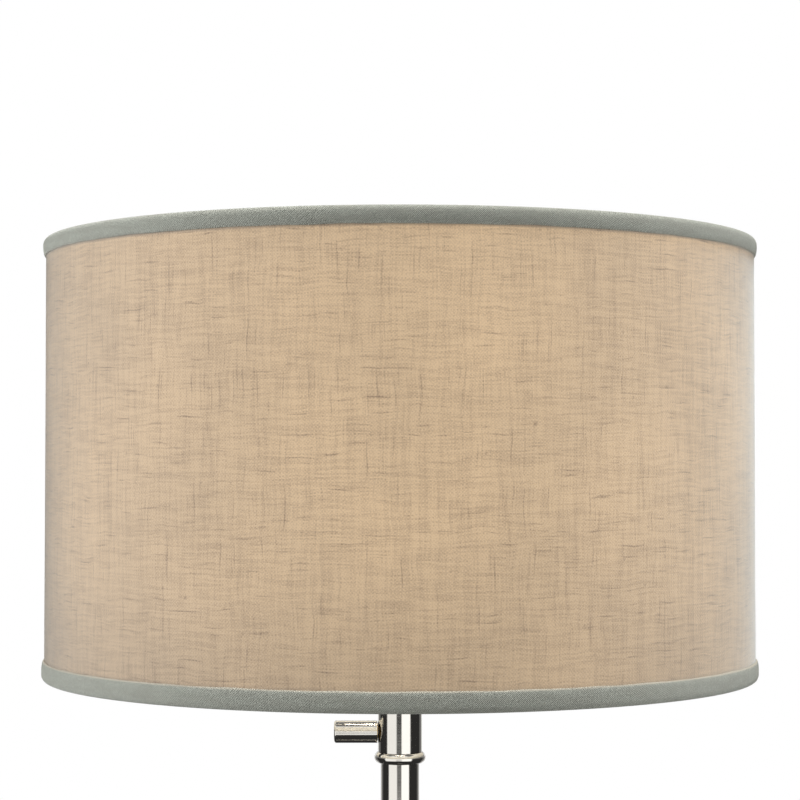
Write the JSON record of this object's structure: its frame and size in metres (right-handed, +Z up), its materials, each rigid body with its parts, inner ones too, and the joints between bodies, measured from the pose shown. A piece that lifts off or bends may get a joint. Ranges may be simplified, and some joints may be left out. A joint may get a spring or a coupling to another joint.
{
  "type": "column floor lamp",
  "caption": "Pharmacy-style floor lamp with a round weighted base, telescoping polished nickel column, side switch knob and linen drum shade with tape trim.",
  "frame": {"origin": "on the floor, at the foot of the pole's axis", "axes": "+Z up along the pole, -X towards the switch knob, -Y towards the viewer, +Y towards the lead's bushing"},
  "size_m": [0.4099, 0.41, 1.524],
  "materials": {
    "polished_nickel": "polished nickel plate",
    "plated_steel": "bright plated wire and hardware",
    "brass": "plain turned or drawn brass",
    "nylon": "natural nylon",
    "phenolic": "moulded phenolic",
    "cast_iron": "black painted casting",
    "pad_rubber": "matt sheet",
    "bushing_plastic": "moulded",
    "fibre_liner": "pressed fibre",
    "bulb_aluminium": "rolled",
    "frosted_glass": "frosted, lit from inside",
    "shade_styrene": "white translucent sheet",
    "linen": "plain-weave linen with slubs, lit from behind",
    "trim_tape": "bias-cut woven tape"
  },
  "bodies": {
    "stand": {"base_pad": "pad_rubber", "base_weight": "cast_iron", "base_cover": "polished_nickel", "cord_bushing": "bushing_plastic", "base_washer": "plated_steel", "base_nut": "plated_steel", "base_nipple": "plated_steel", "pole_foot_ring": "polished_nickel", "pole_foot_insert": "brass", "pole_lower": "polished_nickel", "pole_coupler": "brass", "pole_joint_ring": "polished_nickel", "pole_middle": "polished_nickel", "lock_collar": "polished_nickel", "collar_liner": "nylon"},
    "lock_shoe": {"lock_shoe": "nylon"},
    "lock_knob": {"lock_screw": "plated_steel", "lock_knob": "polished_nickel"},
    "mast": {"pole_guide": "nylon", "pole_upper": "polished_nickel", "neck_insert": "brass", "neck_ring": "polished_nickel", "neck_housing": "polished_nickel", "neck_nut": "plated_steel", "neck_cap": "polished_nickel", "cap_nut": "plated_steel", "socket_nipple": "plated_steel", "switch_body": "phenolic", "switch_nut": "brass", "harp_saddle": "plated_steel", "harp": "plated_steel", "socket_cap": "brass", "socket_shell": "brass", "socket_insulator": "fibre_liner", "socket_body": "phenolic", "screw_shell": "brass", "centre_contact": "brass"},
    "switch_knob": {"switch_spindle": "brass", "switch_knob": "polished_nickel"},
    "ferrule_left": {"harp_ferrule_left": "polished_nickel"},
    "ferrule_right": {"harp_ferrule_right": "polished_nickel"},
    "bulb": {"bulb_cap": "bulb_aluminium", "bulb_glass": "frosted_glass"},
    "shade": {"shade_spider": "plated_steel", "shade_bottom_ring": "plated_steel", "shade_liner": "shade_styrene", "shade_cover": "linen", "trim_top": "trim_tape", "trim_bottom": "trim_tape"},
    "finial": {"finial": "polished_nickel"}
  },
  "joints": [
    {"name": "height_slide", "type": "slide", "parent": "stand", "child": "mast", "axis": [0, 0, 1], "range_m": [-0.3, 0]},
    {"name": "lock_shoe_slide", "type": "slide", "parent": "stand", "child": "lock_shoe", "axis": [1, 0, 0], "range_m": [0, 0.001]},
    {"name": "lock_turn", "type": "hinge", "parent": "lock_shoe", "child": "lock_knob", "pos_m": [0.028, 0, 0.71], "axis": [1, 0, 0], "range_deg": [0, 360]},
    {"name": "switch_turn", "type": "hinge", "parent": "mast", "child": "switch_knob", "pos_m": [-0.0131, 0, 1.2305], "axis": [-1, 0, 0], "continuous": true},
    {"name": "ferrule_left_slide", "type": "slide", "parent": "mast", "child": "ferrule_left", "axis": [0, 0, 1], "range_m": [0, 0.01]},
    {"name": "ferrule_right_slide", "type": "slide", "parent": "mast", "child": "ferrule_right", "axis": [0, 0, 1], "range_m": [0, 0.01]},
    {"name": "bulb_turn", "type": "hinge", "parent": "mast", "child": "bulb", "pos_m": [0, 0, 1.33], "axis": [0, 0, 1], "continuous": true},
    {"name": "shade_turn", "type": "hinge", "parent": "mast", "child": "shade", "pos_m": [0, 0, 1.498], "axis": [0, 0, 1], "continuous": true},
    {"name": "finial_turn", "type": "hinge", "parent": "mast", "child": "finial", "pos_m": [0, 0, 1.5], "axis": [0, 0, 1], "continuous": true}
  ],
  "couplings": [
    {"joint": "lock_turn", "follows": "lock_shoe_slide", "rad_per_m": 6280}
  ]
}
